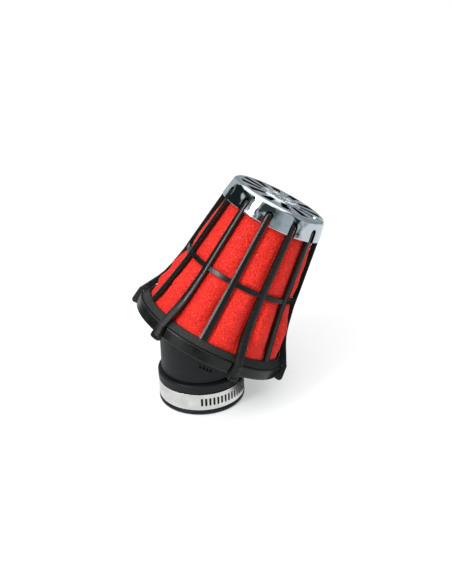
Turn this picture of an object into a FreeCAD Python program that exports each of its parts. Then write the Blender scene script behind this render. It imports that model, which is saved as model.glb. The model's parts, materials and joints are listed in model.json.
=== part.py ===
"""Cone air filter for a small motorcycle carburettor, in millimetres.

The neck axis is +Z, and the origin is the centre of the neck's open mouth. The filter axis
leans from the neck axis towards +X and crosses it at bend_height. Pieces that are round about
the filter axis are drawn upright and tilted by their Placement.
"""
import FreeCAD, Part
import os
from math import cos, radians, sin

import Sketcher

NODES = []

DIMENSIONS = {
    # neck, clamp seat and boot
    "spigot_radius": 16.0,
    "bore_length": 15.0,
    "stop_radius": 14.6,
    "stop_top": 18.6,
    "bead_radius": 19.9,
    "bead_top": 2.1,
    "bead_round": 0.7,
    "seat_radius": 18.95,
    "collar_base": 11.1,
    "collar_top": 15.2,
    "boot_radius": 18.2,
    "boot_socket_radius": 16.6,
    "boot_rough_height": 48.0,
    "boot_groove_radius": 17.5,
    "boot_groove_height": 0.8,
    "mark_azimuth": 254.0,
    "mark_step": 4.8,
    "mark_height": 23.7,
    "mark_drop": 0.9,
    "mark_width": 1.0,
    "mark_tall": 1.8,
    "mark_depth": 0.8,
    # lean of the filter on the neck
    "bend_height": 22.24,
    "bend_angle": 30.0,
    # base pan
    "pan_radius": 36.3,
    "pan_wall": 2.0,
    "pan_floor": 1.9,
    "pan_base": 7.9,
    "pan_top": 12.95,
    "pan_draft": 0.15,
    "pan_round": 0.5,
    "spigot_sink": 0.5,
    "channel_radius": 35.2,
    "channel_half": 2.6,
    # foam element
    "foam_outer_wall": 5.0,
    "foam_inner_wall": 3.0,
    "foam_foot": 9.8,
    "foam_top": 73.2,
    "outer_disc_foot": 70.2,
    "inner_disc_foot": 67.1,
    # inner support basket
    "basket_gap": 0.2,
    "basket_wall": 1.3,
    "basket_top": 66.9,
    "basket_windows": 8,
    # cage
    "rib_count": 12,
    "ring_foot": 10.6,
    "ring_seat": 13.0,
    "ring_edge": 0.5,
    "ring_outer": 35.3,
    "ring_inner": 32.6,
    "ring_skirt": 33.8,
    "ring_crest": 33.4,
    "ring_top": 15.9,
    "belt_low": 41.6,
    "belt_high": 43.6,
    "belt_inner": 26.0,
    "belt_outer": 27.1,
    "belt_taper": 0.35,
    "crown_low": 73.8,
    "crown_high": 78.35,
    "crown_outer": 20.4,
    "crown_inner": 18.6,
    "grip_inner": 38.1,
    "grip_half": 0.28,
    "grip_pitch": 1.2,
    "grip_foot": 5.5,
    "grip_height": 2.6,
    # chromed cap
    "cap_foot": 70.4,
    "cap_radius": 24.0,
    "cap_shoulder": 22.15,
    "cap_top": 79.95,
    "cap_wall": 1.3,
    "cap_round": 1.8,
    "cap_lip_round": 0.5,
    "notch_half": 1.75,
    "notch_top": 76.5,
    "window_inner": 9.7,
    "window_outer": 19.2,
    "window_inner_half": 1.35,
    "window_outer_half": 2.5,
    "boss_radius": 8.6,
    "boss_rise": 0.5,
    "boss_bevel": 0.6,
    "petal_inner": 2.6,
    "petal_middle": 5.2,
    "petal_outer": 8.0,
    "petal_half": 1.0,
    "petal_rise": 0.45,
    # hose clamp
    "band_inner": 19.0,
    "band_outer": 19.8,
    "band_low": 2.6,
    "band_high": 10.6,
    "slot_pitch_angle": 5.457,
    "slot_half_width": 0.5,
    "slot_half_height": 2.0,
    "slot_start": 254.1,
    "band_slots": 25,
    "tail_inner": 20.7,
    "tail_outer": 21.3,
    "tail_slots": 11,
    "tail_sweep": 72.0,
    "tail_lead": 30.0,
    "tail_play": 0.05,
    "ramp_length": 4.6,
    "ramp_thickness": 0.6,
    "ramp_lean": 4.0,
    "ramp_overlap": 0.25,
    "housing_azimuth": 75.0,
    "housing_half": 5.6,
    "housing_wall": 0.7,
    "housing_end_wall": 0.8,
    "housing_foot": 18.0,
    "strip_gap": 0.15,
    "floor_gap": 0.1,
    "collar_gap": 0.35,
    "tunnel_radius": 4.1,
    "screw_offset": 24.05,
    "screw_pitch": 2.0,
    "screw_crest": 3.2,
    "screw_root": 2.45,
    "thread_root_half": 0.5,
    "thread_crest_half": 0.25,
    "thread_turns": 4,
    "screw_end_gap": 0.15,
    "shank_radius": 1.6,
    "shank_gap": 0.05,
    "shank_bevel": 0.4,
    "flange_radius": 3.3,
    "flange_gap": 0.1,
    "flange_thickness": 0.6,
    "hex_corner": 3.5,
    "head_height": 3.2,
    "driver_half": 0.5,
    "driver_depth": 1.2,
}

# Foam surface, from the pan floor to the top: height and radius about the filter axis.
FOAM_OUTLINE = [(9.9, 32.3), (16.0, 31.8), (20.0, 30.2), (28.0, 28.2), (39.0, 25.8),
                (44.0, 25.2), (50.0, 24.2), (64.0, 21.9), (70.2, 21.0), (73.2, 20.6)]

# Lengths that are simply long enough to pass through any piece.
THROUGH = 60.0
FAR_BELOW = -20.0

# Basket windows as foot, head, half width at the foot and half width at the head.
BASKET_WINDOWS = [(14.5, 28.0, 5.2, 4.2), (31.0, 45.0, 3.7, 2.7), (48.0, 62.0, 2.3, 1.2)]
BASKET_LEVELS = [16.0, 20.0, 28.0, 39.0, 50.0, 64.0]

PETALS = 10
BOOT_MARKS = 4

# Share of a rib's width by which its outer face is crowned.
RIB_CROWN = 0.13

# Rib sections as height, radius of the inner face, radius of the outer face and width.
PLAIN_RIB = [(14.0, 32.7, 34.8, 3.5), (16.0, 32.1, 33.6, 3.5), (20.0, 30.5, 32.5, 3.4),
             (28.0, 28.5, 30.4, 3.2), (39.0, 26.1, 28.0, 2.9), (50.0, 24.5, 26.5, 2.7),
             (64.0, 22.2, 24.4, 2.4), (73.4, 20.95, 23.1, 2.3), (74.2, 20.0, 22.95, 2.3),
             (75.0, 20.0, 22.7, 2.1), (75.7, 20.0, 22.1, 1.4)]
HOOK_RIB = [(6.1, 35.9, 38.5, 4.1), (6.6, 35.6, 38.9, 4.3), (7.5, 35.6, 39.0, 4.3),
            (8.3, 36.2, 38.9, 4.2), (10.5, 36.2, 38.6, 3.8), (12.9, 36.2, 38.3, 3.6),
            (13.1, 34.9, 38.2, 3.6), (14.6, 34.6, 37.3, 3.6), (17.9, 32.2, 35.5, 3.5),
            (21.8, 30.0, 33.3, 3.4), (25.5, 29.1, 31.6, 3.3), (30.0, 28.1, 30.2, 3.2),
            (39.0, 26.1, 28.2, 2.9), (50.0, 24.5, 26.7, 2.7), (64.0, 22.2, 24.7, 2.4),
            (73.4, 20.95, 23.3, 2.3), (74.2, 20.0, 23.1, 2.3), (75.0, 20.0, 22.8, 2.1),
            (75.7, 20.0, 22.2, 1.4)]


class Size:
    """A length that knows its number and the sheet expression it comes from."""

    def __init__(self, number, text):
        self.number = float(number)
        self.text = text

    def combine(self, other, sign, number):
        if isinstance(other, Size):
            return Size(number, f"({self.text} {sign} {other.text})")
        return Size(number, f"({self.text} {sign} {other})")

    def __add__(self, other):
        return self.combine(other, "+", self.number + plain(other))

    def __sub__(self, other):
        return self.combine(other, "-", self.number - plain(other))

    def __mul__(self, other):
        return self.combine(other, "*", self.number * plain(other))

    def __truediv__(self, other):
        return self.combine(other, "/", self.number / plain(other))

    def __neg__(self):
        return Size(-self.number, f"(-1 * {self.text})")


def plain(value):
    return value.number if isinstance(value, Size) else float(value)


class Dimensions:
    """The driving dimensions, kept in a spreadsheet of plain numbers with aliases."""

    def __init__(self, doc, table):
        sheet = doc.addObject("Spreadsheet::Sheet", "Dims")
        for row, (alias, value) in enumerate(table.items(), start=1):
            sheet.set(f"A{row}", alias)
            sheet.set(f"B{row}", str(value))
            sheet.setAlias(f"B{row}", alias)
            setattr(self, alias, Size(value, f"Dims.{alias}"))
        doc.recompute()


def bind(obj, path, value):
    """Set a property from a number, or bind it to the sheet."""
    if isinstance(value, Size):
        obj.setExpression(path, value.text)
    elif "." not in path:
        setattr(obj, path, value)


def origin_part(body, role):
    return next(item for item in body.Origin.OriginFeatures if item.Role == role)


def new_sketch(body, name, plane="XZ_Plane", height=0.0, turn=0.0):
    """A sketch on one of the body's origin planes, shifted and turned about the plane's normal."""
    sketch = body.newObject("Sketcher::SketchObject", name)
    sketch.AttachmentSupport = [(origin_part(body, plane), "")]
    sketch.MapMode = "FlatFace"
    spin = FreeCAD.Rotation(FreeCAD.Vector(0, 0, 1), turn)
    sketch.AttachmentOffset = FreeCAD.Placement(FreeCAD.Vector(0, 0, plain(height)), spin)
    bind(sketch, "AttachmentOffset.Base.z", height)
    return sketch


def pin_corner(sketch, label, edge, corner):
    """Hold the first point of an edge at the corner's two sheet values."""
    for axis, value in zip("XY", corner):
        rule = Sketcher.Constraint(f"Distance{axis}", -1, 1, edge, 1, plain(value))
        index = sketch.addConstraint(rule)
        name = f"{axis.lower()}_{label}"
        sketch.renameConstraint(index, name)
        bind(sketch, f"Constraints.{name}", value)


def add_loop(sketch, corners):
    """A closed straight-sided loop whose corners are pinned to the sheet."""
    first = sketch.GeometryCount
    points = [FreeCAD.Vector(plain(x), plain(y), 0) for x, y in corners]
    count = len(points)
    for here in range(count):
        side = Part.LineSegment(points[here], points[(here + 1) % count])
        sketch.addGeometry(side, False)
    for here in range(count):
        edge = first + here
        follower = first + (here + 1) % count
        sketch.addConstraint(Sketcher.Constraint("Coincident", edge, 2, follower, 1))
        pin_corner(sketch, f"{edge}", edge, corners[here])


def add_stadium(sketch, half_width, low, high):
    """An upright slot outline with rounded ends, centred on the sketch's vertical axis."""
    wide, bottom, top = plain(half_width), plain(low), plain(high)
    right = Part.LineSegment(FreeCAD.Vector(wide, bottom, 0), FreeCAD.Vector(wide, top, 0))
    cap = Part.Arc(FreeCAD.Vector(wide, top, 0), FreeCAD.Vector(0, top + wide, 0),
                   FreeCAD.Vector(-wide, top, 0))
    left = Part.LineSegment(FreeCAD.Vector(-wide, top, 0), FreeCAD.Vector(-wide, bottom, 0))
    bowl = Part.Arc(FreeCAD.Vector(-wide, bottom, 0), FreeCAD.Vector(0, bottom - wide, 0),
                    FreeCAD.Vector(wide, bottom, 0))
    for edge in (right, cap, left, bowl):
        sketch.addGeometry(edge, False)
    pin_corner(sketch, "right", 0, (half_width, low))
    pin_corner(sketch, "left", 2, (-half_width, high))
    sketch.addConstraint(Sketcher.Constraint("Vertical", 0))
    sketch.addConstraint(Sketcher.Constraint("Vertical", 2))
    sketch.addConstraint(Sketcher.Constraint("Coincident", 0, 2, 1, 1))
    sketch.addConstraint(Sketcher.Constraint("Coincident", 1, 2, 2, 1))
    sketch.addConstraint(Sketcher.Constraint("Coincident", 2, 2, 3, 1))
    sketch.addConstraint(Sketcher.Constraint("Coincident", 3, 2, 0, 1))
    for arc in (1, 3):
        sketch.addConstraint(Sketcher.Constraint("Horizontal", arc, 1, arc, 2))
        sketch.addConstraint(Sketcher.Constraint("Horizontal", arc, 3, arc, 1))


def revolve(body, name, corners):
    """Turn an outline of radius and height once about the body's Z axis."""
    sketch = new_sketch(body, f"{name}_outline")
    add_loop(sketch, corners)
    turned = body.newObject("PartDesign::Revolution", name)
    turned.Profile = (sketch, [""])
    turned.ReferenceAxis = (origin_part(body, "Z_Axis"), [""])
    turned.Angle = 360
    return turned


def extrude(body, name, sketch, length, kind="Pocket", both_ways=False, away=False):
    """Pocket or Pad a sketch; away sends it along the sketch's normal side that is not default."""
    feature = body.newObject(f"PartDesign::{kind}", name)
    feature.Profile = (sketch, [""])
    feature.Length = plain(length)
    feature.SideType = "Symmetric" if both_ways else "One side"
    feature.Reversed = away
    bind(feature, "Length", length)
    return feature


def repeat(body, feature, count, span=360.0):
    """Polar pattern of one feature about the body's Z axis, and the body's new tip."""
    pattern = body.newObject("PartDesign::PolarPattern", f"{feature.Name}_pattern")
    pattern.Originals = [feature]
    pattern.Axis = (origin_part(body, "Z_Axis"), [""])
    pattern.Angle = plain(span)
    pattern.Occurrences = int(plain(count))
    bind(pattern, "Occurrences", count)
    bind(pattern, "Angle", span)
    body.Tip = pattern
    return pattern


def circular_edges(shape, radius, height):
    """Names of the full circles about Z with this radius at this height."""
    names = []
    for number, edge in enumerate(shape.Edges, start=1):
        curve = edge.Curve
        if not isinstance(curve, Part.Circle):
            continue
        if abs(curve.Radius - radius) < 0.02 and abs(curve.Center.z - height) < 0.02:
            names.append(f"Edge{number}")
    return names


def round_edges(doc, body, base, name, radius, edges):
    """Fillet the circles named by their radius and height."""
    doc.recompute()
    names = []
    for edge_radius, height in edges:
        names += circular_edges(base.Shape, plain(edge_radius), plain(height))
    fillet = body.newObject("PartDesign::Fillet", name)
    fillet.Base = (base, names)
    fillet.Radius = plain(radius)
    bind(fillet, "Radius", radius)
    return fillet


def lean(d, obj):
    """Tilt a piece that is drawn upright onto the filter axis."""
    obj.Placement = FreeCAD.Placement(
        FreeCAD.Vector(0, 0, d.bend_height.number),
        FreeCAD.Rotation(FreeCAD.Vector(0, 1, 0), d.bend_angle.number))
    obj.setExpression("Placement.Base.z", d.bend_height.text)
    obj.setExpression("Placement.Rotation.Angle", d.bend_angle.text)


def cylinder(doc, name, radius, height, base=0.0):
    """A Part cylinder about Z, standing on its base height."""
    solid = doc.addObject("Part::Cylinder", name)
    solid.Radius = plain(radius)
    solid.Height = plain(height)
    solid.Placement.Base = FreeCAD.Vector(0, 0, plain(base))
    bind(solid, "Radius", radius)
    bind(solid, "Height", height)
    bind(solid, "Placement.Base.z", base)
    return solid


def above_pan_plane(d, doc, name, height):
    """A wide round block whose lower face is a plane square to the filter axis."""
    block = doc.addObject("Part::Cylinder", name)
    block.Radius = THROUGH
    block.Height = THROUGH
    tilt = FreeCAD.Rotation(FreeCAD.Vector(0, 1, 0), d.bend_angle.number)
    foot = tilt.multVec(FreeCAD.Vector(0, 0, height.number))
    foot.z += d.bend_height.number
    block.Placement = FreeCAD.Placement(foot, tilt)
    angle, rise = d.bend_angle.text, height.text
    block.setExpression("Placement.Rotation.Angle", angle)
    block.setExpression("Placement.Base.x", f"{rise} * sin({angle} * 1deg)")
    block.setExpression("Placement.Base.z",
                        f"{d.bend_height.text} + {rise} * cos({angle} * 1deg)")
    return block


def join(doc, kind, name, base, tools):
    """A chain of Part booleans: Cut takes each tool away, Fuse adds each one."""
    result = base
    for index, tool in enumerate(tools):
        step = doc.addObject(f"Part::{kind}", name if tool is tools[-1] else f"{name}_{index}")
        step.Base = result
        step.Tool = tool
        result = step
    return result


def keep(obj, label):
    obj.Label = label
    NODES.append(obj)


def foam_radius(height):
    """Radius of the foam surface at a height on the filter axis."""
    for (low, wide), (high, narrow) in zip(FOAM_OUTLINE, FOAM_OUTLINE[1:]):
        if height <= high:
            return wide + (narrow - wide) * (height - low) / (high - low)
    return FOAM_OUTLINE[-1][1]


def foam_depth(height, depth):
    """Radius at a height for a surface that lies a depth inside the foam surface."""
    return depth * -1 + foam_radius(plain(height))


def elbow_boot(d, doc):
    """Rubber neck with a clamp seat, cut square to the filter axis where it meets the pan."""
    body = doc.addObject("PartDesign::Body", "boot_tube")
    groove_top = d.collar_top + d.boot_groove_height
    turned = revolve(body, "boot_turned", [
        (d.spigot_radius, 0), (d.bead_radius, 0), (d.bead_radius, d.bead_top),
        (d.seat_radius, d.bead_top), (d.seat_radius, d.collar_base),
        (d.bead_radius, d.collar_base), (d.bead_radius, d.collar_top),
        (d.boot_groove_radius, d.collar_top), (d.boot_groove_radius, groove_top),
        (d.boot_radius, groove_top), (d.boot_radius, d.boot_rough_height),
        (d.boot_socket_radius, d.boot_rough_height), (d.boot_socket_radius, d.stop_top),
        (d.stop_radius, d.stop_top), (d.stop_radius, d.bore_length),
        (d.spigot_radius, d.bore_length)])
    round_edges(doc, body, turned, "boot_rounds", d.bead_round, [
        (d.bead_radius, 0), (d.bead_radius, d.bead_top), (d.bead_radius, d.collar_top),
        (d.bead_radius, d.collar_base)])
    marks = []
    for index in range(BOOT_MARKS):
        mark = doc.addObject("Part::Box", f"boot_mark_{index}")
        mark.Length = d.boot_radius.number
        mark.Width = d.mark_width.number
        mark.Height = d.mark_tall.number
        mark.setExpression("Width", d.mark_width.text)
        mark.setExpression("Height", d.mark_tall.text)
        azimuth = d.mark_azimuth + d.mark_step * index
        spin = FreeCAD.Rotation(FreeCAD.Vector(0, 0, 1), azimuth.number)
        reach = d.boot_radius.number - d.mark_depth.number
        foot = d.mark_height - d.mark_drop * index
        corner = FreeCAD.Vector(reach, -d.mark_width.number / 2, foot.number)
        mark.Placement = FreeCAD.Placement(spin.multVec(corner), spin)
        mark.setExpression("Placement.Rotation.Angle", azimuth.text)
        mark.setExpression("Placement.Base.z", foot.text)
        marks.append(mark)
    block = above_pan_plane(d, doc, "boot_top_plane", d.pan_base)
    keep(join(doc, "Cut", "boot_cut", body, marks + [block]), "elbow_boot")


def base_pan(d, doc):
    """Round plastic dish with a spigot that plugs into the boot, and channels for the hooks."""
    body = doc.addObject("PartDesign::Body", "pan_dish")
    floor_top = d.pan_base + d.pan_floor
    dish = revolve(body, "pan_turned", [
        (0, d.pan_base), (d.pan_radius - d.pan_draft, d.pan_base), (d.pan_radius, d.pan_top),
        (d.pan_radius - d.pan_wall, d.pan_top), (d.pan_radius - d.pan_wall, floor_top),
        (0, floor_top)])
    rounded = round_edges(doc, body, dish, "pan_rounds", d.pan_round, [
        (d.pan_radius, d.pan_top), (d.pan_radius - d.pan_draft, d.pan_base)])
    body.Tip = rounded
    sketch = new_sketch(body, "channel_outline", "XY_Plane", d.pan_top, turn=30.0)
    add_loop(sketch, [
        (d.channel_radius, -d.channel_half), (d.pan_radius + 3, -d.channel_half),
        (d.pan_radius + 3, d.channel_half), (d.channel_radius, d.channel_half)])
    channel = extrude(body, "hook_channel", sketch, THROUGH, both_ways=True)
    repeat(body, channel, d.rib_count / 2)
    lean(d, body)
    stub = cylinder(doc, "pan_stub", d.boot_socket_radius, THROUGH, d.stop_top)
    plane = above_pan_plane(d, doc, "pan_stub_plane", floor_top - d.spigot_sink)
    spigot = join(doc, "Cut", "pan_spigot", stub, [plane])
    fused = join(doc, "Fuse", "pan_fused", body, [spigot])
    bore = cylinder(doc, "pan_bore", d.stop_radius, THROUGH, d.bore_length)
    keep(join(doc, "Cut", "pan_bored", fused, [bore]), "base_pan")


def foam_sleeve(d, doc, name, depth, wall, low, high):
    """A foam tube that follows the foam outline at a depth, open at both ends."""
    body = doc.addObject("PartDesign::Body", name + "_body")
    between = [height for height, _ in FOAM_OUTLINE if low.number < height < high.number]
    heights = [low] + between + [high]
    outer = [(foam_depth(z, depth), z) for z in heights]
    inner = [(foam_depth(z, depth + wall), z) for z in heights]
    revolve(body, name + "_turned", outer + inner[::-1])
    lean(d, body)
    keep(body, name)


def foam_disc(d, doc, name, depth, low, high):
    """A foam end disc glued on top of its sleeve."""
    body = doc.addObject("PartDesign::Body", name + "_body")
    revolve(body, name + "_turned", [
        (0, low), (foam_depth(low, depth), low), (foam_depth(high, depth), high), (0, high)])
    lean(d, body)
    keep(body, name)


def inner_basket(d, doc):
    """Open plastic frame that holds the foam off the intake."""
    body = doc.addObject("PartDesign::Body", "basket_body")
    low, high = d.foam_foot, d.basket_top
    depth = d.foam_outer_wall + d.foam_inner_wall + d.basket_gap
    levels = [low] + BASKET_LEVELS + [high]
    lid = high - d.basket_wall
    outer = [(foam_depth(z, depth), z) for z in levels]
    inner = [(foam_depth(z, depth + d.basket_wall), z) for z in [low] + BASKET_LEVELS + [lid]]
    shell = revolve(body, "basket_turned", outer + [(0, high), (0, lid)] + inner[::-1])
    body.Tip = shell
    for index, (foot, head, wide, narrow) in enumerate(BASKET_WINDOWS):
        sketch = new_sketch(body, f"basket_window_{index}_outline", "YZ_Plane")
        add_loop(sketch, [(-wide, foot), (wide, foot), (narrow, head), (-narrow, head)])
        window = extrude(body, f"basket_window_{index}", sketch, THROUGH, away=True)
        repeat(body, window, d.basket_windows)
    lean(d, body)
    keep(body, "inner_basket")


def rib_section(body, name, section, turn):
    """One level cut of a rib: flat inside and sides, and a rounded outer face."""
    height, inner, outer, width = section
    drop = RIB_CROWN * width
    side = width / 2
    sketch = new_sketch(body, name, "XY_Plane", height, turn)
    corners = [(inner, side), (inner, -side), (outer - drop, -side), (outer - drop, side)]
    points = [FreeCAD.Vector(x, y, 0) for x, y in corners]
    crest = FreeCAD.Vector(outer, 0, 0)
    for edge in (Part.LineSegment(points[0], points[1]), Part.LineSegment(points[1], points[2]),
                 Part.Arc(points[2], crest, points[3]), Part.LineSegment(points[3], points[0])):
        sketch.addGeometry(edge, False)
    for edge, follower in ((0, 1), (1, 2), (2, 3), (3, 0)):
        sketch.addConstraint(Sketcher.Constraint("Coincident", edge, 2, follower, 1))
    for edge in (0, 1, 3):
        pin_corner(sketch, str(edge), edge, corners[edge])
    radius = (side ** 2 + drop ** 2) / (2 * drop)
    sketch.addConstraint(Sketcher.Constraint("DistanceX", -1, 1, 2, 1, outer - drop))
    sketch.addConstraint(Sketcher.Constraint("Radius", 2, radius))
    return sketch


def rib_set(d, body, name, sections, turn):
    """Loft one rib through its sections and repeat it around the cage."""
    outlines = [rib_section(body, f"{name}_{index}", section, turn)
                for index, section in enumerate(sections)]
    loft = body.newObject("PartDesign::AdditiveLoft", name)
    loft.Profile = (outlines[0], [""])
    loft.Sections = outlines[1:]
    loft.Ruled = True
    repeat(body, loft, d.rib_count / 2)


def cage(d, doc):
    """Twelve ribs, six of them ending in hooks, tied by a lower ring, a belt and a crown."""
    body = doc.addObject("PartDesign::Body", "cage_body")
    revolve(body, "lower_ring", [
        (d.ring_inner, d.ring_foot), (d.ring_skirt, d.ring_foot),
        (d.ring_skirt, d.ring_seat), (d.ring_outer, d.ring_seat),
        (d.ring_outer, d.ring_seat + d.ring_edge), (d.ring_crest, d.ring_top),
        (d.ring_inner, d.ring_top)])
    rib_set(d, body, "plain_rib", PLAIN_RIB, 0.0)
    rib_set(d, body, "hook_rib", HOOK_RIB, 30.0)
    revolve(body, "belt", [
        (d.belt_inner, d.belt_low), (d.belt_outer, d.belt_low),
        (d.belt_outer - d.belt_taper, d.belt_high), (d.belt_inner - d.belt_taper, d.belt_high)])
    crown = revolve(body, "crown", [
        (d.crown_inner, d.crown_low), (d.crown_outer, d.crown_low),
        (d.crown_outer, d.crown_high), (d.crown_inner, d.crown_high)])
    body.Tip = crown
    sketch = new_sketch(body, "grip_outline", "XY_Plane", d.grip_foot, turn=30.0)
    for lane in (-1, 0, 1):
        near = d.grip_pitch * lane - d.grip_half
        far = d.grip_pitch * lane + d.grip_half
        add_loop(sketch, [(d.grip_inner, near), (d.grip_inner + 2, near),
                          (d.grip_inner + 2, far), (d.grip_inner, far)])
    grip = extrude(body, "hook_grip", sketch, d.grip_height, away=True)
    repeat(body, grip, d.rib_count / 2)
    lean(d, body)
    keep(body, "cage")


def cap_grille(d, doc):
    """Chromed cap with twelve rib notches, twelve air windows and a raised centre rosette."""
    body = doc.addObject("PartDesign::Body", "cap_body")
    under = d.cap_top - d.cap_wall
    turned = revolve(body, "cap_turned", [
        (0, under), (d.cap_shoulder - d.cap_wall, under), (d.cap_radius - d.cap_wall, d.cap_foot),
        (d.cap_radius, d.cap_foot), (d.cap_shoulder, d.cap_top),
        (d.boss_radius + d.boss_bevel, d.cap_top), (d.boss_radius, d.cap_top + d.boss_rise),
        (0, d.cap_top + d.boss_rise)])
    rounded = round_edges(doc, body, turned, "cap_rounds", d.cap_round, [
        (d.cap_shoulder, d.cap_top)])
    lip = round_edges(doc, body, rounded, "cap_lip", d.cap_lip_round, [
        (d.cap_radius, d.cap_foot)])
    body.Tip = lip
    sketch = new_sketch(body, "notch_outline", "YZ_Plane")
    add_stadium(sketch, d.notch_half, d.cap_foot - 4, d.notch_top - d.notch_half)
    notch = extrude(body, "rib_notch", sketch, THROUGH, away=True)
    repeat(body, notch, d.rib_count)
    sketch = new_sketch(body, "window_outline", "XY_Plane", d.cap_top, turn=15.0)
    add_loop(sketch, [
        (d.window_inner, -d.window_inner_half), (d.window_outer, -d.window_outer_half),
        (d.window_outer, d.window_outer_half), (d.window_inner, d.window_inner_half)])
    window = extrude(body, "air_window", sketch, d.cap_wall * 4, both_ways=True)
    repeat(body, window, d.rib_count)
    sketch = new_sketch(body, "petal_outline", "XY_Plane", d.cap_top)
    add_loop(sketch, [(d.petal_inner, 0), (d.petal_middle, -d.petal_half),
                      (d.petal_outer, 0), (d.petal_middle, d.petal_half)])
    petal = extrude(body, "petal", sketch, d.boss_rise + d.petal_rise, kind="Pad")
    repeat(body, petal, PETALS)
    lean(d, body)
    keep(body, "cap_grille")


def slot_row(d, doc, name, count, azimuth):
    """A fan of upright slot cutters about the neck axis, the first one at the azimuth."""
    body = doc.addObject("PartDesign::Body", name)
    middle = (d.band_low + d.band_high) / 2
    reach = d.slot_half_height - d.slot_half_width
    sketch = new_sketch(body, f"{name}_outline", "YZ_Plane")
    add_stadium(sketch, d.slot_half_width, middle - reach, middle + reach)
    cutter = extrude(body, f"{name}_cutter", sketch, THROUGH, kind="Pad")
    repeat(body, cutter, count, d.slot_pitch_angle * (count - 1))
    body.Placement.Rotation = FreeCAD.Rotation(FreeCAD.Vector(0, 0, 1), azimuth.number)
    body.setExpression("Placement.Rotation.Angle", azimuth.text)
    return body


def clamp_band(d, doc):
    """Steel band, plain on one side and slotted on the other."""
    body = doc.addObject("PartDesign::Body", "band_ring")
    revolve(body, "band_turned", [
        (d.band_inner, d.band_low), (d.band_outer, d.band_low),
        (d.band_outer, d.band_high), (d.band_inner, d.band_high)])
    slots = slot_row(d, doc, "band_slot_row", d.band_slots, d.slot_start)
    keep(join(doc, "Cut", "band_slotted", body, [slots]), "clamp_band")


def clamp_tail(d, doc):
    """Free end of the band: climbs off the band, runs under the screw and out of the housing."""
    start = d.housing_azimuth - d.tail_lead
    low = d.band_low + d.tail_play
    height = d.band_high - d.band_low - d.tail_play * 2
    outer = cylinder(doc, "tail_outer_disc", d.tail_outer, height, low)
    outer.Angle = d.tail_sweep.number
    bind(outer, "Angle", d.tail_sweep)
    outer.Placement.Rotation = FreeCAD.Rotation(FreeCAD.Vector(0, 0, 1), start.number)
    outer.setExpression("Placement.Rotation.Angle", start.text)
    inner = cylinder(doc, "tail_inner_disc", d.tail_inner, THROUGH, FAR_BELOW)
    arc = join(doc, "Cut", "tail_arc", outer, [inner])
    ramp = doc.addObject("Part::Box", "tail_ramp")
    ramp.Length = d.ramp_thickness.number
    ramp.Width = d.ramp_length.number
    ramp.Height = height.number
    ramp.setExpression("Height", height.text)
    spin = FreeCAD.Rotation(FreeCAD.Vector(0, 0, 1), start.number)
    lean_in = FreeCAD.Rotation(FreeCAD.Vector(0, 0, 1), start.number + d.ramp_lean.number)
    foot = spin.multVec(FreeCAD.Vector(d.tail_inner.number, d.ramp_overlap.number, low.number))
    foot = foot - lean_in.multVec(FreeCAD.Vector(0, d.ramp_length.number, 0))
    ramp.Placement = FreeCAD.Placement(foot, lean_in)
    joined = join(doc, "Fuse", "tail_joined", arc, [ramp])
    phase = d.housing_azimuth - d.slot_pitch_angle * 4
    slots = slot_row(d, doc, "tail_slot_row", d.tail_slots, phase)
    keep(join(doc, "Cut", "tail_slotted", joined, [slots]), "clamp_tail")


def local_box(doc, name, low, high):
    """A Part box between two corners given as sheet sizes or numbers."""
    box = doc.addObject("Part::Box", name)
    for side, base, near, far in zip(("Length", "Width", "Height"), "xyz", low, high):
        span = Size(plain(far), as_text(far)) - Size(plain(near), as_text(near))
        setattr(box, side, span.number)
        box.setExpression(side, span.text)
        box.setExpression(f"Placement.Base.{base}", as_text(near))
    return box


def as_text(value):
    return value.text if isinstance(value, Size) else str(value)


def cross_cylinder(d, doc, name, radius, half_length, lead=0.0):
    """A cylinder on the screw's axis, which runs along Y at the screw's offset."""
    middle = (d.band_low + d.band_high) / 2
    solid = doc.addObject("Part::Cylinder", name)
    solid.Radius = plain(radius)
    solid.Height = 2 * plain(half_length)
    bind(solid, "Radius", radius)
    turn = FreeCAD.Rotation(FreeCAD.Vector(1, 0, 0), -90)
    place = FreeCAD.Vector(d.screw_offset.number, lead - plain(half_length), middle.number)
    solid.Placement = FreeCAD.Placement(place, turn)
    solid.setExpression("Placement.Base.x", d.screw_offset.text)
    solid.setExpression("Placement.Base.z", middle.text)
    return solid


def swing(d, obj):
    """Carry a piece that is drawn at azimuth 0 round to the housing's azimuth."""
    obj.Placement = FreeCAD.Placement(
        FreeCAD.Vector(0, 0, 0),
        FreeCAD.Rotation(FreeCAD.Vector(0, 0, 1), d.housing_azimuth.number))
    obj.setExpression("Placement.Rotation.Angle", d.housing_azimuth.text)


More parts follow.
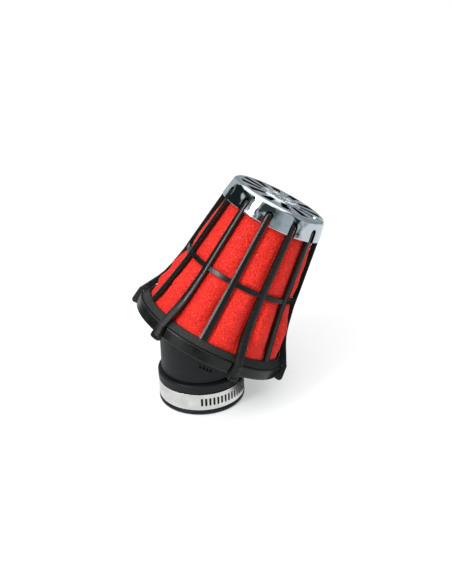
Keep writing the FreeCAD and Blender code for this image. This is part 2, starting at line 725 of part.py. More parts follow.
def clamp_housing(d, doc):
    """Pressed steel saddle on the band: a tunnel over the tail and the screw, with end walls."""
    half = d.housing_half
    middle = (d.band_low + d.band_high) / 2
    outer_radius = d.tunnel_radius + d.housing_wall
    low, high = middle - outer_radius, middle + outer_radius
    block = local_box(doc, "housing_block", (d.housing_foot, -half, low), (d.screw_offset, half, high))
    barrel = cross_cylinder(d, doc, "housing_barrel", outer_radius, half)
    shell = join(doc, "Fuse", "housing_shell", block, [barrel])
    hollow_half = half - d.housing_end_wall
    inner_block = local_box(
        doc, "tunnel_block", (d.housing_foot, -hollow_half, middle - d.tunnel_radius),
        (d.screw_offset, hollow_half, middle + d.tunnel_radius))
    inner_barrel = cross_cylinder(d, doc, "tunnel_barrel", d.tunnel_radius, hollow_half)
    strip_slot = local_box(
        doc, "strip_slot", (d.housing_foot, -half - 1, middle - d.tunnel_radius),
        (d.tail_outer + d.strip_gap, half + 1, middle + d.tunnel_radius))
    hollow = join(doc, "Fuse", "tunnel", inner_block, [inner_barrel, strip_slot])
    floor_disc = cylinder(doc, "floor_disc", d.tail_inner - d.floor_gap, THROUGH, FAR_BELOW)
    hollow = join(doc, "Cut", "tunnel_above_floor", hollow, [floor_disc])
    shank_hole = cross_cylinder(d, doc, "shank_hole", d.shank_radius + d.shank_gap, half + 1)
    collar_disc = cylinder(doc, "collar_clearance", d.bead_radius + d.collar_gap,
                           THROUGH, FAR_BELOW)
    seat_low = cylinder(doc, "seat_slab", THROUGH, d.band_high - d.band_low, d.band_low)
    side_relief = join(doc, "Cut", "side_relief", collar_disc, [seat_low])
    band_disc = cylinder(doc, "band_relief", d.band_outer, THROUGH, FAR_BELOW)
    housing = join(doc, "Cut", "housing_cut", shell,
                   [hollow, shank_hole, side_relief, band_disc])
    swing(d, housing)
    keep(housing, "clamp_housing")


def clamp_screw(d, doc):
    """Worm screw: thread between the housing's end walls, shank, flange and slotted hex head."""
    body = doc.addObject("PartDesign::Body", "screw_body")
    root_half = d.housing_half - d.housing_end_wall - d.screw_end_gap
    outside = d.housing_half + d.flange_gap
    tip = -outside - d.shank_bevel
    flange_top = outside + d.flange_thickness
    shank = revolve(body, "screw_turned", [
        (0, tip), (d.shank_radius - d.shank_bevel, tip), (d.shank_radius, -outside),
        (d.shank_radius, -root_half), (d.screw_root, -root_half), (d.screw_root, root_half),
        (d.shank_radius, root_half), (d.shank_radius, outside), (d.flange_radius, outside),
        (d.flange_radius, flange_top), (0, flange_top)])
    body.Tip = shank
    sketch = new_sketch(body, "thread_outline", "XZ_Plane")
    start = d.screw_pitch * d.thread_turns / -2
    sunk = d.screw_root - d.screw_end_gap
    add_loop(sketch, [
        (sunk, start - d.thread_root_half), (d.screw_crest, start - d.thread_crest_half),
        (d.screw_crest, start + d.thread_crest_half), (sunk, start + d.thread_root_half)])
    thread = body.newObject("PartDesign::AdditiveHelix", "screw_thread")
    thread.Profile = (sketch, [""])
    thread.ReferenceAxis = (origin_part(body, "Z_Axis"), [""])
    thread.Mode = "pitch-turns-angle"
    thread.Pitch = d.screw_pitch.number
    thread.Turns = d.thread_turns.number
    bind(thread, "Pitch", d.screw_pitch)
    bind(thread, "Turns", d.thread_turns)
    body.Tip = thread
    sketch = new_sketch(body, "head_outline", "XY_Plane", outside)
    add_loop(sketch, [(d.hex_corner * cos(radians(60 * k)), d.hex_corner * sin(radians(60 * k)))
                      for k in range(6)])
    extrude(body, "hex_head", sketch, d.head_height, kind="Pad")
    driver_floor = outside + d.head_height - d.driver_depth
    sketch = new_sketch(body, "driver_outline", "XY_Plane", driver_floor)
    add_loop(sketch, [
        (-d.hex_corner, -d.driver_half), (d.hex_corner, -d.driver_half),
        (d.hex_corner, d.driver_half), (-d.hex_corner, d.driver_half)])
    driver = extrude(body, "driver_slot", sketch, d.head_height, away=True)
    body.Tip = driver
    middle = (d.band_low + d.band_high) / 2
    upright = FreeCAD.Rotation(FreeCAD.Vector(-1, 0, 0), FreeCAD.Vector(0, 0, 1),
                               FreeCAD.Vector(0, 1, 0), "ZXY")
    spin = FreeCAD.Rotation(FreeCAD.Vector(0, 0, 1), d.housing_azimuth.number)
    place = spin.multVec(FreeCAD.Vector(d.screw_offset.number, 0, middle.number))
    body.Placement = FreeCAD.Placement(place, spin * upright)
    azimuth = f"({d.housing_azimuth.text} * 1deg)"
    body.setExpression("Placement.Base.x", f"{d.screw_offset.text} * cos{azimuth}")
    body.setExpression("Placement.Base.y", f"{d.screw_offset.text} * sin{azimuth}")
    body.setExpression("Placement.Base.z", middle.text)
    keep(body, "clamp_screw")


def check_document(doc):
    """Stop if any object failed, or a sub-part has no valid solid."""
    faults = [f"{obj.Name}: {obj.State}" for obj in doc.Objects
              if "Invalid" in obj.State or "Error" in obj.State]
    for node in NODES:
        shape = node.Shape
        if shape.isNull() or not shape.isValid() or not shape.Solids:
            faults.append(f"{node.Label}: shape is not a valid solid")
    if faults:
        raise RuntimeError("\n".join(faults))


def main():
    doc = FreeCAD.newDocument("air_filter")
    d = Dimensions(doc, DIMENSIONS)
    elbow_boot(d, doc)
    base_pan(d, doc)
    inner_basket(d, doc)
    surface = d.foam_outer_wall * 0
    foam_sleeve(d, doc, "foam_outer_sleeve", surface, d.foam_outer_wall,
                d.foam_foot, d.outer_disc_foot)
    foam_disc(d, doc, "foam_outer_disc", surface, d.outer_disc_foot, d.foam_top)
    foam_sleeve(d, doc, "foam_inner_sleeve", d.foam_outer_wall, d.foam_inner_wall,
                d.foam_foot, d.inner_disc_foot)
    foam_disc(d, doc, "foam_inner_disc", d.foam_outer_wall, d.inner_disc_foot, d.outer_disc_foot)
    cage(d, doc)
    cap_grille(d, doc)
    clamp_band(d, doc)
    clamp_tail(d, doc)
    clamp_housing(d, doc)
    clamp_screw(d, doc)
    doc.recompute()
    check_document(doc)
    os.makedirs("parts", exist_ok=True)
    for node in NODES:
        node.Shape.exportStep(f"parts/{node.Label}.step")
        print(f"{node.Label}: {len(node.Shape.Solids)} solid, {node.Shape.Volume:.0f} mm3")


main()
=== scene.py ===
"""Looks of the cone air filter: materials, the foam's skin, the cap's relief and the studio.

Names that end in _MM hold millimetres and are scaled to metres where they are used. The foam and
the relief are drawn upright about the filter's own axis and then tilted onto the neck.
"""
import json
from math import asin, cos, pi, radians, sin

import bpy
import numpy as np
from mathutils import Matrix, Vector


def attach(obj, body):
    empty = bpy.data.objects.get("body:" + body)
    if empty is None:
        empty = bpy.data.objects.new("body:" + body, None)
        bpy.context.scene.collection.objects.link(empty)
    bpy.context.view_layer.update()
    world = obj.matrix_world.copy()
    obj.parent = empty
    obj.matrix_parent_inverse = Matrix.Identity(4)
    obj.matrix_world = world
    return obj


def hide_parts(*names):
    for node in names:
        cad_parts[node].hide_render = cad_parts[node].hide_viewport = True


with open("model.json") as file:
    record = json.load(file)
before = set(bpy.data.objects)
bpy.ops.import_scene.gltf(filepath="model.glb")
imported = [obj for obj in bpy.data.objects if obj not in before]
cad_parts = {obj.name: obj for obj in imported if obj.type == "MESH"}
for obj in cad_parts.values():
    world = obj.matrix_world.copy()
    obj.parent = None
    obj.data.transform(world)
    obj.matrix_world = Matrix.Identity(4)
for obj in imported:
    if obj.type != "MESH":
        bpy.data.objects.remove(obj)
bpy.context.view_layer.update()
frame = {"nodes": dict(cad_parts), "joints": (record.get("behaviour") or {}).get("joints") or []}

MM = 0.001
# The filter leans towards +X by BEND_ANGLE, on the line along which the cage lifts off. Its axis
# leaves the neck's axis at BEND_HEIGHT_MM, and heights on it are measured from that point.
lift_off = next(joint for joint in frame["joints"] if joint["name"] == "cage_lift_off")
BEND_ANGLE = asin(lift_off["axis"][0])
BEND_HEIGHT_MM = 22.24
RING_TOP_MM = 16.05


# ---------------------------------------------------------------- node helpers

class Tree:
    """A node tree with short ways to add and join nodes."""

    def __init__(self, tree, coordinates):
        self.tree = tree
        self.place = self.add("ShaderNodeTexCoord").outputs[coordinates]

    def add(self, kind, **settings):
        node = self.tree.nodes.new(kind)
        for name, value in settings.items():
            setattr(node, name, value)
        return node

    def link(self, source, target):
        self.tree.links.new(source, target)

    def feed(self, socket, value):
        """Set a socket to a colour or a number, or link it to another socket."""
        if isinstance(value, tuple):
            socket.default_value = (*value, 1)
        elif isinstance(value, (int, float)):
            socket.default_value = value
        else:
            self.link(value, socket)

    def noise(self, scale, detail=3.0, rough=0.55, vector=None):
        node = self.add("ShaderNodeTexNoise")
        node.inputs["Scale"].default_value = scale
        node.inputs["Detail"].default_value = detail
        node.inputs["Roughness"].default_value = rough
        self.link(vector or self.place, node.inputs["Vector"])
        return node.outputs["Fac"]

    def cells(self, scale):
        node = self.add("ShaderNodeTexVoronoi")
        node.inputs["Scale"].default_value = scale
        self.link(self.place, node.inputs["Vector"])
        return node.outputs["Distance"]

    def remap(self, value, low, high, to_low=0.0, to_high=1.0):
        node = self.add("ShaderNodeMapRange")
        self.link(value, node.inputs["Value"])
        for name, number in (("From Min", low), ("From Max", high),
                             ("To Min", to_low), ("To Max", to_high)):
            node.inputs[name].default_value = number
        return node.outputs["Result"]

    def math(self, operation, first, second):
        node = self.add("ShaderNodeMath", operation=operation)
        self.feed(node.inputs[0], first)
        self.feed(node.inputs[1], second)
        return node.outputs["Value"]

    def ramp(self, value, stops):
        node = self.add("ShaderNodeValToRGB")
        self.link(value, node.inputs["Fac"])
        elements = node.color_ramp.elements
        while len(elements) < len(stops):
            elements.new(0.5)
        for element, (position, color) in zip(elements, stops):
            element.position = position
            element.color = (*color, 1)
        return node.outputs["Color"]

    def mix(self, factor, first, second):
        node = self.add("ShaderNodeMix", data_type="RGBA")
        self.feed(node.inputs["Factor"], factor)
        colors = [socket for socket in node.inputs if socket.type == "RGBA"]
        self.feed(colors[0], first)
        self.feed(colors[1], second)
        return next(socket for socket in node.outputs if socket.type == "RGBA")


class Shader(Tree):
    """A new material and its node tree."""

    def __init__(self, name, color, metallic=0.0, roughness=0.5, specular=0.5):
        self.material = bpy.data.materials.new(name)
        self.material.use_nodes = True
        super().__init__(self.material.node_tree, "Object")
        self.bsdf = self.tree.nodes["Principled BSDF"]
        self.bsdf.inputs["Base Color"].default_value = (*color, 1)
        self.bsdf.inputs["Metallic"].default_value = metallic
        self.bsdf.inputs["Roughness"].default_value = roughness
        self.bsdf.inputs["Specular IOR Level"].default_value = specular

    def glow(self, color, strength):
        self.bsdf.inputs["Emission Color"].default_value = (*color, 1)
        self.bsdf.inputs["Emission Strength"].default_value = strength

    def bump(self, height, strength, distance_mm, below=None):
        node = self.add("ShaderNodeBump")
        node.inputs["Strength"].default_value = strength
        node.inputs["Distance"].default_value = distance_mm * MM
        self.link(height, node.inputs["Height"])
        if below is not None:
            self.link(below, node.inputs["Normal"])
        return node.outputs["Normal"]

    def soft_edges(self, radius_mm):
        """Normals rounded over sharp edges, so that edges catch a highlight."""
        node = self.add("ShaderNodeBevel", samples=6)
        node.inputs["Radius"].default_value = radius_mm * MM
        return node.outputs["Normal"]

    def stretched(self, scale):
        """Object coordinates scaled by a different amount on each axis."""
        node = self.add("ShaderNodeMapping")
        self.link(self.place, node.inputs["Vector"])
        node.inputs["Scale"].default_value = scale
        return node.outputs["Vector"]

    def filter_height(self):
        """Height along the filter axis, in metres, of the point being shaded."""
        node = self.add("ShaderNodeVectorMath", operation="DOT_PRODUCT")
        self.link(self.place, node.inputs[0])
        node.inputs[1].default_value = (sin(BEND_ANGLE), 0, cos(BEND_ANGLE))
        return self.math("SUBTRACT", node.outputs["Value"], BEND_HEIGHT_MM * cos(BEND_ANGLE) * MM)

    def finish(self, color=None, roughness=None, normal=None):
        for name, source in (("Base Color", color), ("Roughness", roughness), ("Normal", normal)):
            if source is not None:
                self.link(source, self.bsdf.inputs[name])
        return self.material


def paint(piece, material):
    piece.data.materials.clear()
    piece.data.materials.append(material)


def scaled(color, share):
    return tuple(channel * share for channel in color)


# ---------------------------------------------------------------- materials

def moulded_plastic(name, color, low, high, grain, edge_mm):
    """Satin black plastic: broad sheen changes, fine mould grain, softened edges."""
    s = Shader(name, color, specular=0.32)
    fine = s.noise(4200, 2.0)
    broad = s.noise(160)
    tint = s.mix(s.remap(broad, 0.35, 0.65), scaled(color, 0.7), scaled(color, 1.35))
    rough = s.remap(broad, 0.3, 0.7, low, high)
    return s.finish(tint, rough, s.bump(fine, grain, 0.05, s.soft_edges(edge_mm)))


def cage_plastic():
    """The cage: satin ribs, and a coarser, brown-flecked grain on its sloped lower ring."""
    color, fleck_color = (0.0055, 0.0068, 0.0062), (0.036, 0.028, 0.021)
    s = Shader("cage_black", color, specular=0.34)
    on_ring = s.math("LESS_THAN", s.filter_height(), RING_TOP_MM * MM)
    grain = s.noise(2300)
    fine = s.noise(4200, 2.0)
    broad = s.noise(180)
    flecks = s.remap(grain, 0.56, 0.7)
    tint = s.mix(s.math("MULTIPLY", on_ring, flecks), color, fleck_color)
    satin = s.remap(broad, 0.3, 0.7, 0.22, 0.34)
    rough = s.math("ADD", satin, s.math("MULTIPLY", on_ring, 0.16))
    below = s.bump(fine, 0.2, 0.04, s.soft_edges(0.18))
    coarse = s.math("MULTIPLY", on_ring, grain)
    return s.finish(tint, rough, s.bump(coarse, 0.8, 0.2, below))


def red_foam(name, bright=1.0):
    """Open-cell foam, about one cell to the millimetre: painted highlights on strands, painted
    shade in pores.
    """
    s = Shader(name, (0.8, 0.03, 0.02), roughness=0.75, specular=0.3)
    cells = s.cells(1900)
    fine = s.noise(3800, 2.0)
    patchy = s.noise(130, 2.0)
    mixed = s.math("ADD", s.math("MULTIPLY", cells, 0.7), s.math("MULTIPLY", fine, 0.6))
    mixed = s.math("ADD", mixed, s.math("MULTIPLY", patchy, 0.06))
    # The pale pink stop is a painted highlight on the strands and the darkest stops are painted
    # shade in the pores; bright scales them all.
    stops = [(0.32, (0.98, 0.34, 0.24)), (0.42, (0.78, 0.04, 0.022)), (0.6, (0.66, 0.015, 0.007)),
             (0.8, (0.55, 0.009, 0.004)), (1.0, (0.34, 0.004, 0.002))]
    color = s.ramp(mixed, [(place, scaled(shade, bright)) for place, shade in stops])
    return s.finish(color, None, s.bump(mixed, 0.45, -0.2))


def chrome():
    """Bright plating with a gentle waviness and a few dull specks."""
    s = Shader("chrome_plate", (0.58, 0.62, 0.655), metallic=1.0)
    wave = s.bump(s.noise(135, 1.0), 0.9, 0.75)
    specks = s.noise(1500)
    rough = s.remap(specks, 0.35, 0.75, 0.035, 0.11)
    return s.finish(None, rough, s.bump(specks, 0.03, 0.01, wave))


def steel(name, color, low, high, stretch):
    """Rolled strip: streaks drawn out along the strip, faint blotches, softened edges."""
    s = Shader(name, color, metallic=1.0)
    streaks = s.noise(500, 4.0, vector=s.stretched(stretch))
    blotch = s.noise(230)
    tint = s.mix(s.remap(blotch, 0.35, 0.7), color, scaled(color, 0.8))
    rough = s.remap(streaks, 0.3, 0.7, low, high)
    return s.finish(tint, rough, s.bump(streaks, 0.15, 0.02, s.soft_edges(0.12)))


def rubber():
    """Matte moulded rubber with a faint dusty bloom."""
    color = (0.0066, 0.008, 0.0083)
    s = Shader("neck_rubber", color, specular=0.22)
    broad = s.noise(90)
    tint = s.mix(s.remap(broad, 0.35, 0.7), color, scaled(color, 1.6))
    rough = s.remap(broad, 0.3, 0.7, 0.4, 0.52)
    return s.finish(tint, rough, s.bump(s.noise(3600, 2.0), 0.22, 0.04, s.soft_edges(0.1)))


STRIP_COLOR = (0.86, 0.845, 0.81)
ALONG_BAND, EVEN = (0.15, 0.15, 1.0), (1.0, 1.0, 1.0)

nodes = frame["nodes"]
outer_foam = red_foam("red_foam_cells")
# The inner foam is the same foam at 0.6 of its colour: a copy in painted shade for the foam that
# sits inside.
inner_foam = red_foam("inner_foam_painted_shade", 0.6)
materials = {
    "elbow_boot": rubber(),
    "base_pan": moulded_plastic("pan_black", (0.0075, 0.009, 0.0085), 0.22, 0.32, 0.12, 0.14),
    "inner_basket": moulded_plastic("basket_black", (0.012, 0.012, 0.013), 0.45, 0.6, 0.3, 0.22),
    "foam_inner_sleeve": inner_foam,
    "foam_inner_disc": inner_foam,
    "foam_outer_sleeve": outer_foam,
    "foam_outer_disc": outer_foam,
    "cage": cage_plastic(),
    "cap_grille": chrome(),
    "clamp_band": steel("band_steel", STRIP_COLOR, 0.3, 0.45, ALONG_BAND),
    "clamp_tail": steel("tail_steel", STRIP_COLOR, 0.3, 0.45, ALONG_BAND),
    "clamp_housing": steel("housing_steel", (0.68, 0.685, 0.68), 0.3, 0.45, EVEN),
    "clamp_screw": steel("screw_steel", (0.64, 0.65, 0.66), 0.28, 0.42, EVEN),
}
for node_name, material in materials.items():
    paint(nodes[node_name], material)


# ---------------------------------------------------------------- mesh helpers

def tilt_matrix():
    """From the filter's upright drawing, in metres, to the row frame."""
    lift = Matrix.Translation((0, 0, BEND_HEIGHT_MM * MM))
    return lift @ Matrix.Rotation(BEND_ANGLE, 4, "Y")


def make_mesh(name, points_mm, faces):
    """A smooth-shaded mesh drawn upright about the filter axis, then tilted into place."""
    mesh = bpy.data.meshes.new(name)
    mesh.from_pydata((points_mm * MM).tolist(), [], faces)
    mesh.transform(tilt_matrix())
    mesh.polygons.foreach_set("use_smooth", [True] * len(mesh.polygons))
    mesh.update()
    piece = bpy.data.objects.new(name, mesh)
    bpy.context.scene.collection.objects.link(piece)
    return piece


def turned_points(radius, turn, height):
    """Points of a grid of rings, one ring to a row, from polar coordinates."""
    return np.stack([radius * np.cos(turn), radius * np.sin(turn), height], 2).reshape(-1, 3)


def curve(table, heights):
    return np.interp(heights, [z for z, _ in table], [value for _, value in table])


def smooth_rows(field, passes):
    """Blur a height field that wraps round in its second direction."""
    for _ in range(passes):
        field = (np.roll(field, 1, 1) + 2 * field + np.roll(field, -1, 1)) / 4
        padded = np.vstack([field[:1], field, field[-1:]])
        field = (padded[:-2] + 2 * padded[1:-1] + padded[2:]) / 4
    return field


# ---------------------------------------------------------------- the foam's outer skin

# Height on the filter axis with the foam's radius under the ribs, its swell midway between two
# ribs, and half the width of a rib.
FOAM_MM = [(9.9, 32.0), (14.2, 31.9), (16.0, 31.8), (20.0, 30.2), (28.0, 28.2), (39.0, 25.8),
           (44.0, 25.2), (50.0, 24.2), (64.0, 21.9), (70.2, 21.0), (73.3, 20.6)]
BULGE_MM = [(9.9, 0.0), (14.2, 0.3), (15.8, 0.5), (17.5, 1.0), (20.0, 1.8), (24.0, 2.7),
            (28.0, 3.0), (34.0, 2.6), (38.0, 1.7), (40.6, 0.8), (41.6, 0.3), (42.6, 0.22),
            (43.6, 0.13), (44.2, 0.3), (45.0, 0.75), (50.0, 1.3), (60.0, 1.3), (67.0, 0.7),
            (70.2, 0.2), (73.3, 0.0)]
RIB_HALF_MM = [(14.2, 1.9), (28.0, 1.75), (50.0, 1.5), (73.3, 1.3)]
FOAM_TOP_MM = FOAM_MM[-1][0]
FOAM_WALL_MM = 4.6
DISC_FOOT_MM = 70.25
RIB_MARGIN_MM = 0.15
SKIN_SINK_MM = 0.05
SKIN_COLUMNS, SKIN_STEP_MM = 660, 0.29
RIBS = 12


def pore_field(rng, rows, columns):
    """Pits and strands: blurred noise, steepened so that pores are narrow and deep."""
    field = smooth_rows(rng.normal(size=(rows, columns)), 1)
    field /= field.std()
    return -0.075 * np.clip(-field - 0.3, 0, 2) + 0.035 * np.clip(field, 0, 2)


def outside_radius(heights, turn, rng):
    """Radius of the foam's outside: swollen between the ribs and pinched under them."""
    size = (len(heights), len(turn))
    base = curve(FOAM_MM, heights)[:, None]
    bulge = curve(BULGE_MM, heights)[:, None]
    half = (curve(RIB_HALF_MM, heights)[:, None] + RIB_MARGIN_MM) / base
    half_pitch = np.pi / RIBS
    from_rib = np.abs((turn[None, :] + half_pitch) % (2 * half_pitch) - half_pitch)
    across = np.clip((from_rib - half) / (half_pitch - half), 0, 1)
    swell = np.sin(np.pi / 2 * across) ** 0.9
    uneven = smooth_rows(rng.normal(size=size), 60)
    uneven *= 0.12 / uneven.std()
    pores = pore_field(rng, *size)
    pores *= 0.35 + 0.65 * np.clip(across * 6, 0, 1)
    return base + bulge * swell * (1 + uneven) + pores - SKIN_SINK_MM


def foam_skin():
    """The whole outer foam as one closed body: sleeve and end disc, inside and outside.

    Its rings run out under the disc, down the inner wall, out along the foot, up the outside and
    in over the top.
    """
    columns = SKIN_COLUMNS
    heights = np.arange(FOAM_MM[0][0], FOAM_TOP_MM, SKIN_STEP_MM)
    turn = np.linspace(0, 2 * np.pi, columns, endpoint=False)
    rng = np.random.default_rng(7)
    outside = outside_radius(heights, turn, rng)
    inside_heights = np.linspace(DISC_FOOT_MM, heights[0], 30)
    inside = curve(FOAM_MM, inside_heights)[:, None] - FOAM_WALL_MM + np.zeros(columns)
    few, many = np.linspace(0, 1, 11)[1:-1, None], np.linspace(0, 1, 61)[1:-1, None]
    radius = np.vstack([inside[0] * few, inside, inside[-1] + (outside[0] - inside[-1]) * few,
                        outside, outside[-1] * many[::-1]])
    levels = [np.full(len(few), DISC_FOOT_MM), inside_heights, np.full(len(few), heights[0]),
              heights, np.full(len(many), FOAM_TOP_MM)]
    height = np.concatenate(levels)[:, None] + np.zeros(columns)
    grain = smooth_rows(rng.normal(size=(len(many), columns)), 1) * many[::-1]
    height[-len(many):] += 0.22 * grain
    points = turned_points(radius, turn + np.zeros_like(radius), height)
    points = np.vstack([points, [[0, 0, DISC_FOOT_MM], [0, 0, FOAM_TOP_MM]]])
    last, first_end, last_end = len(radius) - 1, len(points) - 2, len(points) - 1
    faces = [(row * columns + k, row * columns + (k + 1) % columns,
              (row + 1) * columns + (k + 1) % columns, (row + 1) * columns + k)
             for row in range(last) for k in range(columns)]
    faces += [(first_end, (k + 1) % columns, k) for k in range(columns)]
    faces += [(last * columns + k, last * columns + (k + 1) % columns, last_end)
              for k in range(columns)]
    return make_mesh("foam_skin", points, faces)


skin = foam_skin()
paint(skin, outer_foam)
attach(skin, "filter_body")
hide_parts("foam_outer_sleeve", "foam_outer_disc")


# ---------------------------------------------------------------- the cap's centre relief

BOSS_RADIUS_MM = 8.55
BOSS_TOP_MM = 80.45
RELIEF_SINK_MM = 0.15
RELIEF_RINGS, RELIEF_COLUMNS = 74, 300
LEAVES = 10


def leaf(across, along, start, end, half_width):
    """Height of one domed leaf, from the distance across it and the distance from the centre."""
    middle, reach = (start + end) / 2, (end - start) / 2
    width = half_width * np.clip(1 - np.abs(along - middle) / reach, 0, 1)
    share = np.abs(across) / np.maximum(width, 1e-6)
    vein = 0.25 * np.exp(-(across / 0.12) ** 2)
    return np.where(share < 1, np.sqrt(np.clip(1 - share ** 2, 0, 1)) * (1 - vein), 0)


def relief_height(radius, turn):
    """Ornament: a scalloped dome, two rings of leaves, a beaded rim and a hammered ground."""
    step = 2 * np.pi / LEAVES
    from_leaf = (turn + step / 2) % step - step / 2
    from_gap = turn % step - step / 2
    long_leaf = 0.52 * leaf(radius * from_leaf, radius, 2.3, 8.1, 1.15)
    short_leaf = 0.4 * leaf(radius * from_gap, radius, 4.4, 7.9, 0.85)
    dome = 0.6 * np.sqrt(np.clip(1 - (radius / 2.4) ** 2, 0, 1)) * (0.85 + 0.15 * np.cos(turn * 8))
    beads = 0.28 * np.sqrt(np.clip(1 - ((radius - 8.1) / 0.4) ** 2, 0, 1))
    beads *= 0.55 + 0.45 * np.cos(turn * 36)
    ground = 0.05 * np.sin(radius * 9 + 3 * np.sin(turn * 11)) * np.cos(turn * 26 + radius * 4)
    return np.maximum.reduce([long_leaf, short_leaf, dome, beads]) + ground + 0.06


def cap_relief():
    """A thin struck plate that fills the boss on top of the cap."""
    rings, columns = RELIEF_RINGS, RELIEF_COLUMNS
    radii = np.linspace(0.1, BOSS_RADIUS_MM, rings)
    turn = np.linspace(0, 2 * np.pi, columns, endpoint=False)
    radius, around = np.meshgrid(radii, turn, indexing="ij")
    lift = BOSS_TOP_MM + relief_height(radius, around)
    floor = BOSS_TOP_MM - RELIEF_SINK_MM
    top = turned_points(radius, around, lift)
    foot = turned_points(radius[-1:], around[-1:], np.full((1, columns), floor))
    points = np.vstack([top, foot, [[0, 0, lift[0].mean()], [0, 0, floor]]])
    crown, base = len(points) - 2, len(points) - 1
    faces = [(row * columns + k, (row + 1) * columns + k,
              (row + 1) * columns + (k + 1) % columns, row * columns + (k + 1) % columns)
             for row in range(rings) for k in range(columns)]
    faces += [(crown, k, (k + 1) % columns) for k in range(columns)]
    last = rings * columns
    faces += [(base, last + (k + 1) % columns, last + k) for k in range(columns)]
    return make_mesh("cap_relief", points, faces)


relief = cap_relief()
paint(relief, materials["cap_grille"])
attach(relief, "cap_body")


# ---------------------------------------------------------------- studio

# Panels round the room that the chrome mirrors: azimuth in degrees and colour. Noise moves their
# edges by up to half of WAVER, in radians, to either side.
LIGHT, WHITE, MID = (0.55, 0.6, 0.63), (1.25, 1.27, 1.28), (0.33, 0.39, 0.4)
TEAL, DARK, GREY = (0.012, 0.022, 0.02), (0.045, 0.055, 0.055), (0.34, 0.38, 0.4)
PANELS = [(0, GREY), (85, GREY), (92, LIGHT), (114, LIGHT), (118, TEAL), (192, TEAL),
          (197, WHITE), (210, WHITE), (212, DARK), (214, DARK), (216, LIGHT), (219, LIGHT),
          (222, DARK), (250, DARK), (266, MID), (288, LIGHT), (294, LIGHT), (296, TEAL),
          (306, TEAL), (310, LIGHT), (330, GREY)]
TABLE_COLOR, CEILING_COLOR = (0.9, 0.93, 0.945), (1.6, 1.6, 1.6)
WAVER = 0.5


def make_floor():
    """A wide pale table top, a little below the neck's mouth."""
    bpy.ops.mesh.primitive_plane_add(size=6, location=(0, 0, -0.0002))
    floor = bpy.context.object
    floor.name = "floor"
    s = Shader("floor_paper", (0.57, 0.57, 0.57), roughness=0.8, specular=0.1)
    s.glow((1.0, 1.0, 1.0), 0.42)
    paint(floor, s.finish(None, None, s.bump(s.noise(300, 2.0), 0.02, 0.1)))
    floor.visible_glossy = False


def make_wall():
    """A round pale wall far behind everything, seen directly but not mirrored."""
    bpy.ops.mesh.primitive_cylinder_add(radius=2.9, depth=6, end_fill_type="NOTHING", vertices=96)
    wall = bpy.context.object
    wall.name = "wall"
    s = Shader("wall_paper", (0.9, 0.9, 0.9), roughness=0.9)
    s.glow((1.0, 1.0, 1.0), 1.0)
    paint(wall, s.finish(None, None, s.bump(s.noise(3, 2.0), 0.02, 0.1)))
    wall.visible_glossy = False
    wall.visible_diffuse = False
    wall.visible_shadow = False


def make_painted_shadow_sheet():
    """A dark sheet on the floor by the neck, seen only in reflections: a painted shadow for the
    floor's shade under the pan, which darkens the band's right end.
    """
    bpy.ops.mesh.primitive_plane_add(size=0.11, location=(0.076, 0.03, -0.0001))
    painted_shadow_sheet = bpy.context.object
    painted_shadow_sheet.name = "painted_shadow_sheet"
    s = Shader("painted_shadow_card", (0.01, 0.01, 0.01), roughness=0.9)
    paint(painted_shadow_sheet, s.finish(None, None, s.bump(s.noise(300, 2.0), 0.02, 0.1)))
    painted_shadow_sheet.visible_camera = False
    painted_shadow_sheet.visible_diffuse = False
    painted_shadow_sheet.visible_shadow = False


def area_light(name, azimuth, elevation, distance, size, power, mirrored=True):
    """A soft box that faces the filter from a direction given in degrees."""
    target = Vector((0.012, 0, 0.05))
    turn, rise = radians(azimuth), radians(elevation)
    away = Vector((cos(turn) * cos(rise), sin(turn) * cos(rise), sin(rise)))
    lamp = bpy.data.lights.new(name, "AREA")
    lamp.shape = "RECTANGLE"
    lamp.size, lamp.size_y = size
    lamp.energy = power
    holder = bpy.data.objects.new(name, lamp)
    holder.location = target + away * distance
    holder.rotation_euler = away.to_track_quat("Z", "Y").to_euler()
    holder.visible_glossy = mirrored
    bpy.context.scene.collection.objects.link(holder)


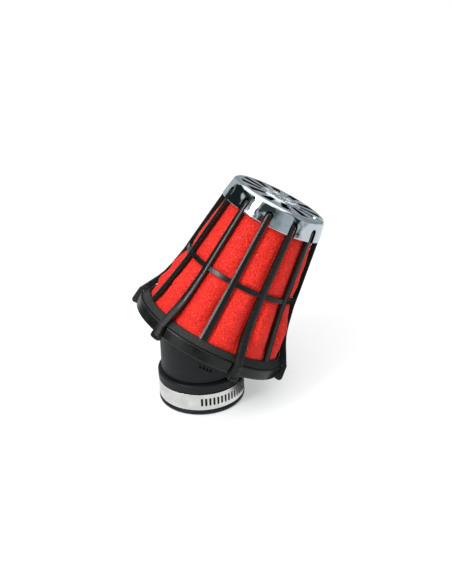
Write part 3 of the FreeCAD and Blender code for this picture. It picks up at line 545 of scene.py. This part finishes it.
def make_world():
    """A room of wavering light and dark panels over a pale table, under a bright ceiling."""
    world = bpy.data.worlds.new("studio")
    bpy.context.scene.world = world
    world.use_nodes = True
    t = Tree(world.node_tree, "Generated")
    waver = t.noise(4.0, 1.0, 0.5)
    direction = t.add("ShaderNodeSeparateXYZ")
    t.link(t.place, direction.inputs["Vector"])
    back_x = t.math("MULTIPLY", direction.outputs["X"], -1.0)
    back_y = t.math("MULTIPLY", direction.outputs["Y"], -1.0)
    azimuth = t.math("ARCTAN2", back_y, back_x)
    azimuth = t.math("ADD", azimuth, t.math("MULTIPLY", waver, WAVER))
    around = t.math("ADD", t.math("DIVIDE", azimuth, 2 * pi), 0.5 - WAVER / 2 / (2 * pi))
    panels = t.ramp(around, [(degrees / 360, color) for degrees, color in PANELS])
    height = t.math("ADD", direction.outputs["Z"], t.math("MULTIPLY", waver, 0.1))
    walls = t.mix(t.remap(height, -0.26, -0.1), TABLE_COLOR, panels)
    room = t.mix(t.remap(height, 0.66, 0.8), walls, CEILING_COLOR)
    t.link(room, t.tree.nodes["Background"].inputs["Color"])


def make_camera():
    """The camera, turned and placed so that the object's circles look as in the photograph."""
    azimuth, elevation, roll = radians(-16.79), radians(26.75), radians(-1.99)
    distance, side_shift, rise = 0.45, -0.00126, -0.00917
    back = Vector((sin(azimuth) * cos(elevation), -cos(azimuth) * cos(elevation), sin(elevation)))
    level = Vector((cos(azimuth), sin(azimuth), 0))
    upward = back.cross(level)
    right = cos(roll) * level + sin(roll) * upward
    above = -sin(roll) * level + cos(roll) * upward
    aim = Vector((0.015, 0, 0.06)) + side_shift * right + rise * above
    data = bpy.data.cameras.new("camera")
    data.sensor_width = 36
    data.lens = 62.0
    data.clip_start, data.clip_end = 0.01, 20
    camera = bpy.data.objects.new("camera", data)
    turn = Matrix((right, above, back)).transposed().to_4x4()
    camera.matrix_world = Matrix.Translation(aim + distance * back) @ turn
    bpy.context.scene.collection.objects.link(camera)
    bpy.context.scene.camera = camera


make_floor()
make_wall()
make_painted_shadow_sheet()
make_world()
area_light("key", 206, 38, 0.6, (0.16, 0.32), 2.1)
area_light("fill", 238, 48, 0.8, (0.5, 0.5), 1.7, mirrored=False)
make_camera()
bpy.context.scene.view_settings.view_transform = "Standard"
